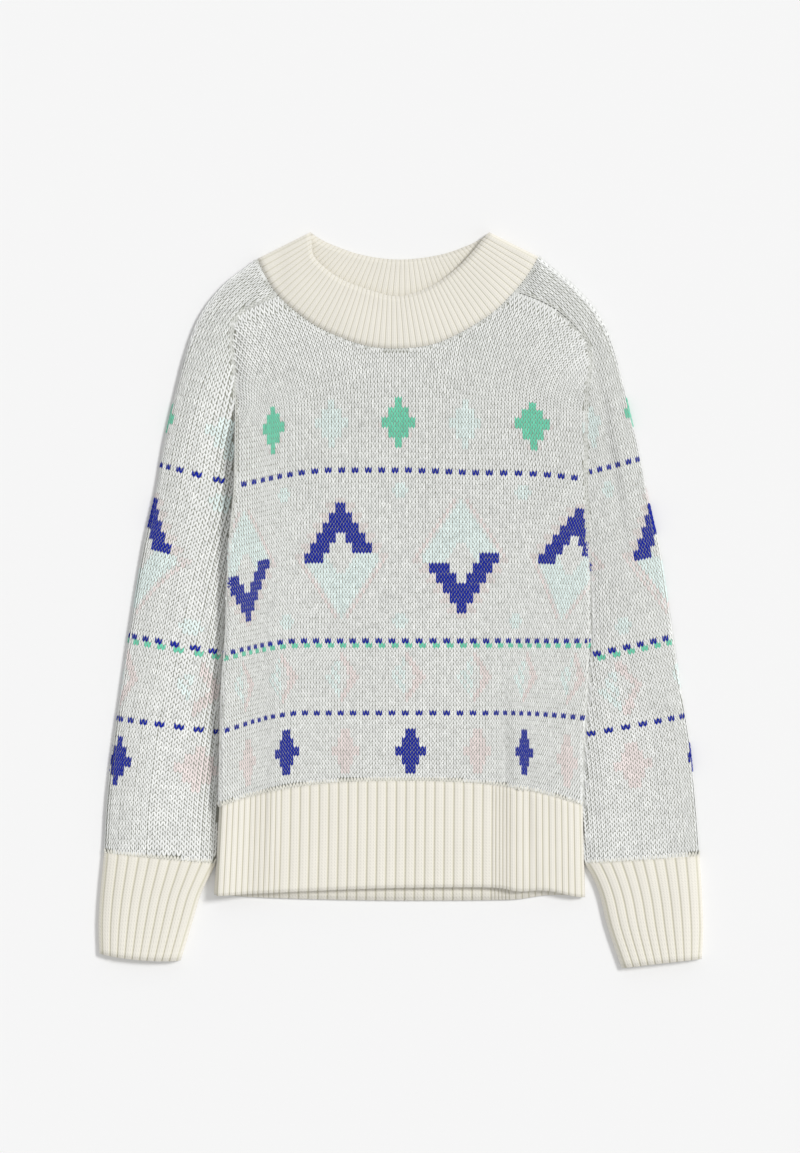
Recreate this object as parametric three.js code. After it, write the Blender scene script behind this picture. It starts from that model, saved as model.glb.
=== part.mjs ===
// A knitted jumper with saddle shoulders, lying flat on a surface with its front up.
// Millimetres. +Y runs from the hem to the collar, +Z up, the surface is z = 0, and x = 0 is the
// middle of the garment's width. Left and right are the viewer's, looking down on the front.
import * as THREE from 'three';

const WALL = 3; // knitted cloth with the yarn floats behind it
const SEAM = 0.3; // room between two pieces that are sewn together
const CURVED_SEAM = 0.65; // the same where the seam is curved and its facets differ
const INSIDE = 0.6; // room between the front and the back where the garment is quite flat
const THICK = 2 * WALL + INSIDE;
const MIDDLE = THICK / 2; // height of the side seams, and radius of the rounded sides
const PUFF = 1.2; // how far the front rises between its edges
const PUFF_RIM = 34; // width over which that rise fades out at an edge
const SPLIT_FROM = 60; // y at which the sleeves begin to part from the body
const SPLIT_TO = 0; // y below which they are apart
const RIB_HEIGHT = 1.1;
const RIB_BEGINS = 0.3; // where a rib's crest begins and ends, as shares of its pitch
const RIB_ENDS = 0.78;
const NECKLINE_FADE = 0.5; // how soon the sections below the neckline lose its curve
const HEM_TOP_RISE = 24; // the rib's upper edge is that much higher in the middle than at the sides
const HEM_TOP_ROUNDNESS = 2.6;
const FRONT_HEM_END = { side: -279.8, middle: -272.7 };
const BACK_HEM_END = { side: -280.2, middle: -285 };
const NECK = { x: -3, y: 325, halfWidth: 134, drop: 87 }; // the front neckline as an ellipse

// From the neck to the cuff: the seam where a sleeve meets the body, which below the underarm is
// the body's own side, and the fold along the sleeve's outer edge.
const LEFT_SLEEVE = [
  { seamX: -117.5, seamY: 290.5, foldX: -136.4, foldY: 324.2 },
  { seamX: -131.0, seamY: 284.0, foldX: -150.0, foldY: 314.0 },
  { seamX: -144.3, seamY: 278.0, foldX: -163.3, foldY: 304.0 },
  { seamX: -154.5, seamY: 270.5, foldX: -175.5, foldY: 291.5 },
  { seamX: -160.0, seamY: 260.0, foldX: -185.5, foldY: 278.5 },
  { seamX: -161.4, seamY: 246.0, foldX: -195.0, foldY: 261.0 },
  { seamX: -159.5, seamY: 228.0, foldX: -204.5, foldY: 234.0 },
  { seamX: -157.3, seamY: 198.0, foldX: -213.5, foldY: 199.0 },
  { seamX: -156.6, seamY: 150.0, foldX: -224.4, foldY: 151.0 },
  { seamX: -157.6, seamY: 105.0, foldX: -232.5, foldY: 104.0 },
  { seamX: -162.0, seamY: 60.0, foldX: -242.5, foldY: 60.0 },
  { seamX: -164.4, seamY: 20.0, foldX: -250.0, foldY: 18.0 },
  { seamX: -166.0, seamY: -30.0, foldX: -257.5, foldY: -30.0 },
  { seamX: -170.0, seamY: -85.0, foldX: -265.0, foldY: -82.0 },
  { seamX: -171.5, seamY: -140.0, foldX: -273.0, foldY: -138.0 },
  { seamX: -172.6, seamY: -195.0, foldX: -279.0, foldY: -191.0 },
  { seamX: -175.4, seamY: -250.0, foldX: -281.8, foldY: -240.0 },
];
const RIGHT_SLEEVE = [
  { seamX: 107.5, seamY: 293.0, foldX: 130.7, foldY: 326.2 },
  { seamX: 119.5, seamY: 289.0, foldX: 144.5, foldY: 314.5 },
  { seamX: 133.0, seamY: 283.5, foldX: 158.3, foldY: 303.6 },
  { seamX: 148.0, seamY: 275.0, foldX: 171.5, foldY: 290.5 },
  { seamX: 163.5, seamY: 261.3, foldX: 185.0, foldY: 275.0 },
  { seamX: 176.0, seamY: 245.0, foldX: 196.5, foldY: 254.0 },
  { seamX: 180.0, seamY: 226.0, foldX: 205.3, foldY: 228.0 },
  { seamX: 176.5, seamY: 195.0, foldX: 213.5, foldY: 195.0 },
  { seamX: 175.6, seamY: 150.0, foldX: 224.0, foldY: 150.0 },
  { seamX: 176.0, seamY: 105.0, foldX: 233.5, foldY: 105.0 },
  { seamX: 177.8, seamY: 57.0, foldX: 244.3, foldY: 57.0 },
  { seamX: 180.1, seamY: 17.0, foldX: 251.0, foldY: 17.0 },
  { seamX: 181.0, seamY: -30.0, foldX: 258.0, foldY: -30.0 },
  { seamX: 178.0, seamY: -85.0, foldX: 266.0, foldY: -83.0 },
  { seamX: 174.4, seamY: -140.0, foldX: 274.5, foldY: -138.0 },
  { seamX: 173.2, seamY: -195.0, foldX: 279.8, foldY: -192.0 },
  { seamX: 174.2, seamY: -250.0, foldX: 283.6, foldY: -242.5 },
];
const UNDERARM = 11; // row of the two tables above
const HEM_TOP = 15; // row at which the body's rib begins
const CUFF_TOP = 16;

// The cuffs from the sleeve down: inner edge, outer edge, and how far the row sags between them.
const LEFT_CUFF = [
  { innerX: -175.9, innerY: -250.4, outerX: -281.8, outerY: -240.4, sag: 0.2 },
  { innerX: -183.0, innerY: -264.0, outerX: -284.0, outerY: -262.0, sag: 1.4 },
  { innerX: -191.0, innerY: -281.0, outerX: -286.0, outerY: -284.0, sag: 2.2 },
  { innerX: -199.0, innerY: -308.0, outerX: -287.2, outerY: -309.0, sag: 2.0 },
  { innerX: -209.5, innerY: -342.5, outerX: -286.4, outerY: -336.0, sag: 2.4 },
];
const RIGHT_CUFF = [
  { innerX: 175.2, innerY: -250.4, outerX: 283.7, outerY: -242.9, sag: 0.2 },
  { innerX: 183.0, innerY: -264.0, outerX: 285.2, outerY: -266.0, sag: 0.8 },
  { innerX: 190.0, innerY: -282.0, outerX: 286.4, outerY: -288.0, sag: 1.0 },
  { innerX: 197.0, innerY: -311.0, outerX: 287.2, outerY: -314.0, sag: 0.4 },
  { innerX: 210.3, innerY: -349.6, outerX: 285.8, outerY: -341.0, sag: -0.6 },
];

// The collar from its left fold to its right one, along the direction of its ribs.
const COLLAR_FRONT = [
  { baseX: -136.4, baseY: 324.2, rimX: -85.9, rimY: 349.6 },
  { baseX: -128.6, baseY: 307.5, rimX: -84.6, rimY: 340.0 },
  { baseX: -117.5, baseY: 290.5, rimX: -83.2, rimY: 328.0 },
  { baseX: -100.5, baseY: 274.3, rimX: -75.0, rimY: 318.0 },
  { baseX: -75.3, baseY: 257.5, rimX: -57.0, rimY: 304.9 },
  { baseX: -36.9, baseY: 242.5, rimX: -26.7, rimY: 293.3 },
  { baseX: -0.8, baseY: 238.9, rimX: -0.8, rimY: 288.4 },
  { baseX: 37.2, baseY: 245.1, rimX: 27.7, rimY: 297.3 },
  { baseX: 81.6, baseY: 269.0, rimX: 51.4, rimY: 313.5 },
  { baseX: 107.5, baseY: 293.0, rimX: 67.6, rimY: 330.0 },
  { baseX: 121.5, baseY: 310.5, rimX: 78.0, rimY: 343.0 },
  { baseX: 130.7, baseY: 326.2, rimX: 84.0, rimY: 349.6 },
];
const COLLAR_BACK = [
  { baseX: -136.4, baseY: 324.2, rimX: -85.9, rimY: 349.6 },
  { baseX: -118.0, baseY: 304.0, rimX: -78.5, rimY: 344.6 },
  { baseX: -92.0, baseY: 291.5, rimX: -65.6, rimY: 338.0 },
  { baseX: -48.0, baseY: 280.5, rimX: -36.5, rimY: 328.1 },
  { baseX: -0.8, baseY: 277.0, rimX: -0.8, rimY: 323.8 },
  { baseX: 44.0, baseY: 281.0, rimX: 36.0, rimY: 328.0 },
  { baseX: 87.0, baseY: 293.0, rimX: 62.8, rimY: 336.8 },
  { baseX: 112.0, baseY: 307.0, rimX: 76.0, rimY: 343.6 },
  { baseX: 130.7, baseY: 326.2, rimX: 84.0, rimY: 349.6 },
];
const FRONT_CORNERS = { left: 2, right: 9 }; // rows at which the saddles end and the panel begins
const BACK_CORNERS = { left: 1, right: 7 };

// Stretches of the front hem with their number of ribs. The rib is slack and close at the folds.
const HEM_RIBS = [
  { fromX: -172, toX: -144, ribs: 5 },
  { fromX: -144, toX: -114, ribs: 6 },
  { fromX: -114, toX: 89, ribs: 22 },
  { fromX: 89, toX: 108, ribs: 4 },
  { fromX: 108, toX: 174, ribs: 11 },
];
const BACK_COLUMNS = 14;
const CUFF_RIBS = 10;
const COLLAR_RIBS = 42;

// Soft folds of the front: the middle, the direction from the garment's length, half the length,
// the width, and the height above or below the cloth around.
const FOLDS = [
  { x: 101, y: -205, lean: -1, reach: 190, width: 8, height: 1.7 },
  { x: 113, y: -215, lean: -2, reach: 150, width: 6, height: -1.0 },
  { x: 128, y: -190, lean: -4, reach: 170, width: 9, height: 1.0 },
  { x: 152, y: -120, lean: 2, reach: 190, width: 9, height: 0.8 },
  { x: -124, y: -190, lean: 3, reach: 160, width: 9, height: 1.4 },
  { x: -139, y: -130, lean: 2, reach: 210, width: 7, height: -0.9 },
  { x: -150, y: -40, lean: -2, reach: 170, width: 8, height: 0.8 },
  { x: -124, y: 150, lean: 6, reach: 110, width: 10, height: 1.0 },
  { x: 140, y: 170, lean: -8, reach: 100, width: 10, height: 0.9 },
  { x: -192, y: 180, lean: 14, reach: 110, width: 12, height: 1.1 },
  { x: 204, y: 150, lean: -14, reach: 110, width: 11, height: 1.0 },
  { x: -208, y: -60, lean: 6, reach: 150, width: 12, height: 0.9 },
  { x: 226, y: -80, lean: -6, reach: 150, width: 12, height: 0.9 },
  { x: -232, y: -190, lean: 4, reach: 100, width: 9, height: 0.8 },
];

const { clamp, lerp, smoothstep, degToRad } = THREE.MathUtils;

// Curve in the plane through a table's rows, read from two of its columns.
function through(rows, xColumn, yColumn) {
  return new THREE.SplineCurve(rows.map((row) => new THREE.Vector2(row[xColumn], row[yColumn])));
}

// Value of one column at a height y, in a table whose rows go down in y.
function atHeight(rows, column, yColumn, y) {
  const below = rows.findIndex((row) => row[yColumn] <= y);
  if (below === 0) return rows[0][column];
  if (below < 0) return rows[rows.length - 1][column];
  const [upper, lower] = [rows[below - 1], rows[below]];
  return lerp(lower[column], upper[column], (y - lower[yColumn]) / (upper[yColumn] - lower[yColumn]));
}

function foldHeight(x, y) {
  return FOLDS.reduce((sum, fold) => {
    const turn = degToRad(fold.lean);
    const along = ((y - fold.y) * Math.cos(turn) + (x - fold.x) * Math.sin(turn)) / fold.reach;
    const across = ((x - fold.x) * Math.cos(turn) - (y - fold.y) * Math.sin(turn)) / fold.width;
    return sum + fold.height * Math.exp(-(across ** 2)) * Math.max(0, 1 - along ** 2) ** 2;
  }, 0);
}

// How far the front stands above the flat thickness. It comes down to nothing at every edge.
function lift(x, y) {
  const sleeve = x < 0 ? LEFT_SLEEVE : RIGHT_SLEEVE;
  const rise = (distance) => 1 - (1 - clamp(distance / PUFF_RIM, 0, 1)) ** 2;
  const toFold = Math.abs(atHeight(sleeve, 'foldX', 'foldY', y)) - Math.abs(x);
  const toSide = Math.abs(Math.abs(atHeight(sleeve, 'seamX', 'seamY', y)) - Math.abs(x));
  const apart = 1 - smoothstep(y, SPLIT_TO, SPLIT_FROM);
  const fromNeck = Math.hypot((x - NECK.x) / NECK.halfWidth, (y - NECK.y) / NECK.drop) - 1;
  const edges = rise(toFold) * (1 - apart * (1 - rise(toSide)));
  return (PUFF + foldHeight(x, y)) * edges * clamp(fromNeck * 3, 0, 1);
}

// One point of a layer: the cloth's outer and inner face.
const facing = (outer, inner) => ({ outer, inner });

// A row of the upper layer along a curve in the plane. At each end the cloth stays flat (turn 0)
// or turns down round the garment's side to the middle of its thickness (turn 1). Where it goes
// on round the fold, that end isn't open.
function clothRow(curve, columns, turn, open = { start: true, end: true }, rise = lift) {
  const bend = MIDDLE / curve.getLength();
  const edge = (end, degrees) => {
    const side = end === 'start' ? 0 : 1;
    const point = curve.getPointAt(side);
    const inward = curve.getTangentAt(side).multiplyScalar(side === 0 ? 1 : -1);
    const angle = degToRad(degrees);
    const amount = turn[end];
    const sewn = degrees === 0 && open[end] ? (SEAM / 2) * amount : 0;
    const up = lerp(1, Math.sin(angle), amount) * rise(point.x, point.y) + sewn;
    const place = (radius, flatTop) => {
      const distance = lerp((MIDDLE * degrees) / 90, MIDDLE - radius * Math.cos(angle), amount);
      const at = point.clone().addScaledVector(inward, distance);
      return new THREE.Vector3(at.x, at.y, lerp(flatTop, MIDDLE + radius * Math.sin(angle), amount) + up);
    };
    return facing(place(MIDDLE, THICK), place(MIDDLE - WALL, THICK - WALL));
  };
  const middle = columns.map(({ at, raise }) => {
    const point = curve.getPointAt(lerp(bend, 1 - bend, at));
    const top = THICK + rise(point.x, point.y);
    return facing(
      new THREE.Vector3(point.x, point.y, top + raise),
      new THREE.Vector3(point.x, point.y, top - WALL)
    );
  });
  return [edge('start', 0), edge('start', 45), ...middle, edge('end', 45), edge('end', 0)];
}

// The same row in the lower layer: flat on the surface, with no lift.
function underRow(curve, columns, turn, open) {
  const lower = (point) => new THREE.Vector3(point.x, point.y, THICK - point.z);
  const row = clothRow(curve, columns, turn, open, () => 0);
  return row.map(({ outer, inner }) => facing(lower(outer), lower(inner)));
}

const evenColumns = (count) => Array.from({ length: count + 1 }, (_, k) => ({ at: k / count, raise: 0 }));

// Columns over ribs, three to a rib. Each stretch is {from, to, ribs} in shares of the row.
function ribColumns(stretches) {
  const columns = stretches.flatMap(({ from, to, ribs }) =>
    Array.from({ length: ribs }, (_, k) => {
      const at = (share) => lerp(from, to, (k + share) / ribs);
      return [
        { at: at(0), raise: 0 },
        { at: at(RIB_BEGINS), raise: RIB_HEIGHT },
        { at: at(RIB_ENDS), raise: RIB_HEIGHT },
      ];
    }).flat()
  );
  return [...columns, { at: 1, raise: 0 }];
}

// Closed mesh of a cloth wall from its rows. A ring joins each row's end to its start, and
// otherwise the wall has end faces there as it has at its first and last row.
function wall(rows, ring = false) {
  const across = rows[0].length;
  const positions = [];
  const index = [];
  for (const face of ['outer', 'inner']) {
    for (const row of rows) row.forEach((point) => positions.push(...point[face].toArray()));
  }
  const outer = (i, j) => i * across + (j % across);
  const inner = (i, j) => rows.length * across + outer(i, j);
  const quad = (a, b, c, d) => index.push(a, b, c, a, c, d);
  const last = rows.length - 1;
  const spans = ring ? across : across - 1;
  for (let j = 0; j < spans; j += 1) {
    for (let i = 0; i < last; i += 1) {
      quad(outer(i, j), outer(i, j + 1), outer(i + 1, j + 1), outer(i + 1, j));
      quad(inner(i, j), inner(i + 1, j), inner(i + 1, j + 1), inner(i, j + 1));
    }
    quad(outer(0, j + 1), outer(0, j), inner(0, j), inner(0, j + 1));
    quad(outer(last, j), outer(last, j + 1), inner(last, j + 1), inner(last, j));
  }
  for (let i = 0; i < last && !ring; i += 1) {
    quad(outer(i, 0), outer(i + 1, 0), inner(i + 1, 0), inner(i, 0));
    quad(outer(i + 1, spans), outer(i, spans), inner(i, spans), inner(i + 1, spans));
  }
  const geometry = new THREE.BufferGeometry();
  geometry.setAttribute('position', new THREE.Float32BufferAttribute(positions, 3));
  geometry.setIndex(facesOut(positions, index) ? index : index.reverse());
  geometry.computeVertexNormals();
  return geometry;
}

// Whether a closed mesh has its faces outward, from the sign of its volume.
function facesOut(positions, index) {
  const corner = (k) => new THREE.Vector3().fromArray(positions, index[k] * 3);
  let volume = 0;
  for (let k = 0; k < index.length; k += 3) {
    volume += corner(k).dot(corner(k + 1).cross(corner(k + 2)));
  }
  return volume > 0;
}

// Part of a curve, moved sideways by an offset to the left of its direction.
function stretchOf(curve, from, to, offset, samples = 14) {
  const points = Array.from({ length: samples + 1 }, (_, k) => {
    const share = lerp(from, to, k / samples);
    const ahead = curve.getTangent(clamp(share, 0, 1)).multiplyScalar(Math.sign(to - from));
    return curve.getPoint(share).add(new THREE.Vector2(-ahead.y, ahead.x).multiplyScalar(offset));
  });
  return new THREE.SplineCurve(points);
}

// Straight line between two points, bowed by some of the way that another curve is.
function bowed(start, end, bow, amount, rise = () => 0, samples = 14) {
  const points = Array.from({ length: samples + 1 }, (_, k) => {
    const share = k / samples;
    const straight = start.clone().lerp(end, share);
    const bend = bow.getPoint(share).sub(bow.getPoint(0).lerp(bow.getPoint(1), share));
    return straight.addScaledVector(bend, amount).add(new THREE.Vector2(0, rise(share)));
  });
  return new THREE.SplineCurve(points);
}

const sleeveRows = { left: LEFT_SLEEVE, right: RIGHT_SLEEVE };
const collarRows = { front: COLLAR_FRONT, back: COLLAR_BACK };
const corners = { front: FRONT_CORNERS, back: BACK_CORNERS };
const neckSeam = {
  front: through(COLLAR_FRONT, 'baseX', 'baseY'),
  back: through(COLLAR_BACK, 'baseX', 'baseY'),
};
const neckShare = (face, row) => row / (collarRows[face].length - 1);

// Seam between sleeve and body, starting at the neck corner of the front or of the back.
function bodySeam(side, face) {
  const rows = sleeveRows[side];
  const corner = collarRows[face][corners[face][side]];
  return through([{ seamX: corner.baseX, seamY: corner.baseY }, ...rows.slice(1)], 'seamX', 'seamY');
}

// Point of that seam at a row of the sleeve's table, moved away from the body.
function seamPoint(side, face, row, outward) {
  const seam = bodySeam(side, face);
  const share = row / (sleeveRows[side].length - 1);
  const down = seam.getTangent(share);
  const away = new THREE.Vector2(down.y, -down.x).multiplyScalar(side === 'left' ? 1 : -1);
  return seam.getPoint(share).addScaledVector(away, outward);
}

const foldPoint = (side, row) =>
  through(sleeveRows[side], 'foldX', 'foldY').getPoint(row / (sleeveRows[side].length - 1));

// Rows at which panels and sleeves have their sections, closer where the seams curve.
const SECTIONS = [0, 0.5, 1, 1.5, 2, 2.5, 3, 3.5, 4, 4.5, 5, 5.5, 6, 7, 8, 9, 10, 10.5, 11, 12, 13, 14, 15];

// How far the cloth turns round the side at a row: not along the armhole, fully below it.
const sideTurn = (row) => smoothstep(row, UNDERARM - 1, UNDERARM + 1);

const hemRise = (share) => HEM_TOP_RISE * (1 - Math.abs(2 * share - 1) ** HEM_TOP_ROUNDNESS);

// A body panel, from the neckline and the saddles down to the rib.
function bodyPanel(face, columnCount) {
  const shares = [neckShare(face, corners[face].left), neckShare(face, corners[face].right)];
  const neckline = stretchOf(neckSeam[face], shares[0], shares[1], -CURVED_SEAM);
  const corner = neckline.getPoint(0);
  const depth = corner.y - neckline.getPoint(0.5).y;
  const rows = SECTIONS.map((row) => {
    const hemShare = Math.max(0, (row - UNDERARM) / (HEM_TOP - UNDERARM));
    const start = seamPoint('left', face, row, -SEAM / 2);
    const curve = bowed(
      start,
      seamPoint('right', face, row, -SEAM / 2),
      neckline,
      Math.max(0, 1 - (NECKLINE_FADE * (corner.y - start.y)) / depth),
      (share) => hemRise(share) * hemShare ** 2 + (row === 0 ? -CURVED_SEAM : 0)
    );
    const turn = { start: sideTurn(row), end: sideTurn(row) };
    return (face === 'front' ? clothRow : underRow)(curve, evenColumns(columnCount), turn);
  });
  return wall(rows);
}

// A cloth tube lying flat: upper layer from the open edge to the fold, and back underneath.
function foldedRow(upper, lower, upperColumns, lowerColumns, turn) {
  const ends = { start: turn, end: 1 };
  const over = clothRow(upper, upperColumns, ends, { start: true, end: false });
  const under = underRow(lower, lowerColumns, ends, { start: true, end: false });
  return [...over, ...under.reverse().slice(1)];
}

// A sleeve with its saddle, from the collar to the cuff.
function sleeve(side) {
  const strapEnd = (face) => {
    const outer = side === 'left' ? 0 : collarRows[face].length - 1;
    const from = neckShare(face, corners[face][side]);
    const offset = side === 'left' ? CURVED_SEAM : -CURVED_SEAM;
    return stretchOf(neckSeam[face], from, neckShare(face, outer), offset, 6);
  };
  const rows = [...SECTIONS, CUFF_TOP].map((row) => {
    const curve = (face) => {
      const end = strapEnd(face);
      const ahead = end.getPoint(1).sub(end.getPoint(0)).normalize();
      const outward = new THREE.Vector2(-ahead.y, ahead.x).multiplyScalar(side === 'left' ? 1 : -1);
      const clear = outward.multiplyScalar(row === 0 ? CURVED_SEAM : 0);
      const start = seamPoint(side, face, row, SEAM / 2).add(clear);
      return bowed(start, foldPoint(side, row).add(clear), end, Math.max(0, 1 - row / 2));
    };
    const turn = sideTurn(row);
    return foldedRow(curve('front'), curve('back'), evenColumns(7), evenColumns(4), turn);
  });
  return wall(rows);
}

// A ribbed cuff. Its lower edge is the garment's lowest.
function cuff(table) {
  const rows = table.map(({ innerX, innerY, outerX, outerY, sag }) => {
    const inner = new THREE.Vector2(innerX, innerY);
    const outer = new THREE.Vector2(outerX, outerY);
    const middle = inner.clone().add(outer).multiplyScalar(0.5).sub(new THREE.Vector2(0, 2 * sag));
    const curve = new THREE.QuadraticBezierCurve(inner, middle, outer);
    const ribs = ribColumns([{ from: 0, to: 1, ribs: CUFF_RIBS }]);
    return foldedRow(curve, curve, ribs, evenColumns(5), 1);
  });
  return wall(rows);
}

// The hem's rib on one face, from the panel down to its free edge.
function hem(face, end, columns, rowCount) {
  const shares = Array.from({ length: rowCount + 1 }, (_, k) => k / rowCount);
  const rows = shares.map((down) => {
    const corner = (side) => {
      const top = seamPoint(side, face, HEM_TOP, -SEAM / 2);
      const bottom = seamPoint(side, face, CUFF_TOP, -SEAM / 2);
      const y = lerp(top.y - CURVED_SEAM, end.side, down);
      return new THREE.Vector2(lerp(top.x, bottom.x, (top.y - y) / (top.y - bottom.y)), y);
    };
    const rise = (share) => {
      const free = (end.middle - end.side) * (1 - (2 * share - 1) ** 2);
      return lerp(hemRise(share), free, down);
    };
    const points = Array.from({ length: 15 }, (_, k) => {
      const across = corner('left').lerp(corner('right'), k / 14);
      return across.add(new THREE.Vector2(0, rise(k / 14)));
    });
    const curve = new THREE.SplineCurve(points);
    return (face === 'front' ? clothRow : underRow)(curve, columns, { start: 1, end: 1 });
  });
  return wall(rows);
}

function hemRibs() {
  const [left, right] = [HEM_RIBS[0].fromX, HEM_RIBS[HEM_RIBS.length - 1].toX];
  const share = (x) => (x - left) / (right - left);
  return ribColumns(HEM_RIBS.map(({ fromX, toX, ribs }) => ({ from: share(fromX), to: share(toX), ribs })));
}

// The ribbed collar: a ring folded flat, its front lower than its back.
function collar(rowCount) {
  const line = (face, up) => {
    const rows = collarRows[face].map(({ baseX, baseY, rimX, rimY }) => ({
      x: lerp(baseX, rimX, up),
      y: lerp(baseY, rimY, up),
    }));
    return through(rows, 'x', 'y');
  };
  const folded = { start: 1, end: 1 };
  const closed = { start: false, end: false };
  const ribs = ribColumns([{ from: 0, to: 1, ribs: COLLAR_RIBS }]);
  const rows = Array.from({ length: rowCount + 1 }, (_, k) => {
    const over = clothRow(line('front', k / rowCount), ribs, folded, closed);
    const under = underRow(line('back', k / rowCount), evenColumns(24), folded, closed);
    return [...over, ...under.reverse().slice(1, -1)];
  });
  return wall(rows, true);
}

const groundKnit = { color: 0xdadcd6, roughness: 0.95, metalness: 0 };
const creamRib = { color: 0xebe8da, roughness: 0.92, metalness: 0 };

function piece(name, geometry, finish) {
  const mesh = new THREE.Mesh(geometry, new THREE.MeshStandardMaterial(finish));
  mesh.name = name;
  return mesh;
}

const jumper = new THREE.Group();
jumper.add(
  piece('front_panel', bodyPanel('front', 20), groundKnit),
  piece('back_panel', bodyPanel('back', BACK_COLUMNS), groundKnit),
  piece('left_saddle_sleeve', sleeve('left'), groundKnit),
  piece('right_saddle_sleeve', sleeve('right'), groundKnit),
  piece('front_hem_rib', hem('front', FRONT_HEM_END, hemRibs(), 3), creamRib),
  piece('back_hem_rib', hem('back', BACK_HEM_END, evenColumns(BACK_COLUMNS), 2), creamRib),
  piece('left_cuff', cuff(LEFT_CUFF), creamRib),
  piece('right_cuff', cuff(RIGHT_CUFF), creamRib),
  piece('neck_rib', collar(4), creamRib)
);

export default jumper;
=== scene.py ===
import math

import bmesh
import bpy
import numpy as np
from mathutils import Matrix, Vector
from mathutils.bvhtree import BVHTree


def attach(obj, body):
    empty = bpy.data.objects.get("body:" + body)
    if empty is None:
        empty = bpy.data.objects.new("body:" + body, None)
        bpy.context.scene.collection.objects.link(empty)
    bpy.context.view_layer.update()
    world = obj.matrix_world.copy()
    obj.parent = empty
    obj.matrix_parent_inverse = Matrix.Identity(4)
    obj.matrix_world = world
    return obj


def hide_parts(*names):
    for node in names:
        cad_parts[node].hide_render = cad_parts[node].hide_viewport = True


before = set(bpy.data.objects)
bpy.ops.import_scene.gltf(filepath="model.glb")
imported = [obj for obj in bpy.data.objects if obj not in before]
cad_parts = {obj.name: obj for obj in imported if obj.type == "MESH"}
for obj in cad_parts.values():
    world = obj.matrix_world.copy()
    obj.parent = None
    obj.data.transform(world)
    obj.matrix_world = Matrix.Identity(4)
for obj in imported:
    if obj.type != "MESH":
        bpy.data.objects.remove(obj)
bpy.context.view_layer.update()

MM = 0.001

# The cloth as the solids have it, in millimetres.
WALL = 3.0
THICK = 6.6
MIDDLE = 3.3
PUFF = 1.2
PUFF_RIM = 34.0
SPLIT_FROM = 60.0
SPLIT_TO = 0.0
HEM_TOP_RISE = 24.0
HEM_TOP_ROUNDNESS = 2.6
NECK = (-3.0, 325.0, 134.0, 87.0)

# Each row: seam x, seam y, fold x, fold y, from the collar down to the cuff.
LEFT_SLEEVE = np.array([
    (-117.5, 290.5, -136.4, 324.2),
    (-131.0, 284.0, -150.0, 314.0),
    (-144.3, 278.0, -163.3, 304.0),
    (-154.5, 270.5, -175.5, 291.5),
    (-160.0, 260.0, -185.5, 278.5),
    (-161.4, 246.0, -195.0, 261.0),
    (-159.5, 228.0, -204.5, 234.0),
    (-157.3, 198.0, -213.5, 199.0),
    (-156.6, 150.0, -224.4, 151.0),
    (-157.6, 105.0, -232.5, 104.0),
    (-162.0, 60.0, -242.5, 60.0),
    (-164.4, 20.0, -250.0, 18.0),
    (-166.0, -30.0, -257.5, -30.0),
    (-170.0, -85.0, -265.0, -82.0),
    (-171.5, -140.0, -273.0, -138.0),
    (-172.6, -195.0, -279.0, -191.0),
    (-175.4, -250.0, -281.8, -240.0),
])
RIGHT_SLEEVE = np.array([
    (107.5, 293.0, 130.7, 326.2),
    (119.5, 289.0, 144.5, 314.5),
    (133.0, 283.5, 158.3, 303.6),
    (148.0, 275.0, 171.5, 290.5),
    (163.5, 261.3, 185.0, 275.0),
    (176.0, 245.0, 196.5, 254.0),
    (180.0, 226.0, 205.3, 228.0),
    (176.5, 195.0, 213.5, 195.0),
    (175.6, 150.0, 224.0, 150.0),
    (176.0, 105.0, 233.5, 105.0),
    (177.8, 57.0, 244.3, 57.0),
    (180.1, 17.0, 251.0, 17.0),
    (181.0, -30.0, 258.0, -30.0),
    (178.0, -85.0, 266.0, -83.0),
    (174.4, -140.0, 274.5, -138.0),
    (173.2, -195.0, 279.8, -192.0),
    (174.2, -250.0, 283.6, -242.5),
])

# Each row: inner x, inner y, outer x, outer y, sag.
LEFT_CUFF = np.array([
    (-175.9, -250.4, -281.8, -240.4, 0.2),
    (-183.0, -264.0, -284.0, -262.0, 1.4),
    (-191.0, -281.0, -286.0, -284.0, 2.2),
    (-199.0, -308.0, -287.2, -309.0, 2.0),
    (-209.5, -342.5, -286.4, -336.0, 2.4),
])
RIGHT_CUFF = np.array([
    (175.2, -250.4, 283.7, -242.9, 0.2),
    (183.0, -264.0, 285.2, -266.0, 0.8),
    (190.0, -282.0, 286.4, -288.0, 1.0),
    (197.0, -311.0, 287.2, -314.0, 0.4),
    (210.3, -349.6, 285.8, -341.0, -0.6),
])

# Each row: base x, base y, rim x, rim y, from the left fold to the right one.
COLLAR_FRONT = np.array([
    (-136.4, 324.2, -85.9, 349.6),
    (-128.6, 307.5, -84.6, 340.0),
    (-117.5, 290.5, -83.2, 328.0),
    (-100.5, 274.3, -75.0, 318.0),
    (-75.3, 257.5, -57.0, 304.9),
    (-36.9, 242.5, -26.7, 293.3),
    (-0.8, 238.9, -0.8, 288.4),
    (37.2, 245.1, 27.7, 297.3),
    (81.6, 269.0, 51.4, 313.5),
    (107.5, 293.0, 67.6, 330.0),
    (121.5, 310.5, 78.0, 343.0),
    (130.7, 326.2, 84.0, 349.6),
])
COLLAR_BACK = np.array([
    (-136.4, 324.2, -85.9, 349.6),
    (-118.0, 304.0, -78.5, 344.6),
    (-92.0, 291.5, -65.6, 338.0),
    (-48.0, 280.5, -36.5, 328.1),
    (-0.8, 277.0, -0.8, 323.8),
    (44.0, 281.0, 36.0, 328.0),
    (87.0, 293.0, 62.8, 336.8),
    (112.0, 307.0, 76.0, 343.6),
    (130.7, 326.2, 84.0, 349.6),
])

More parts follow.
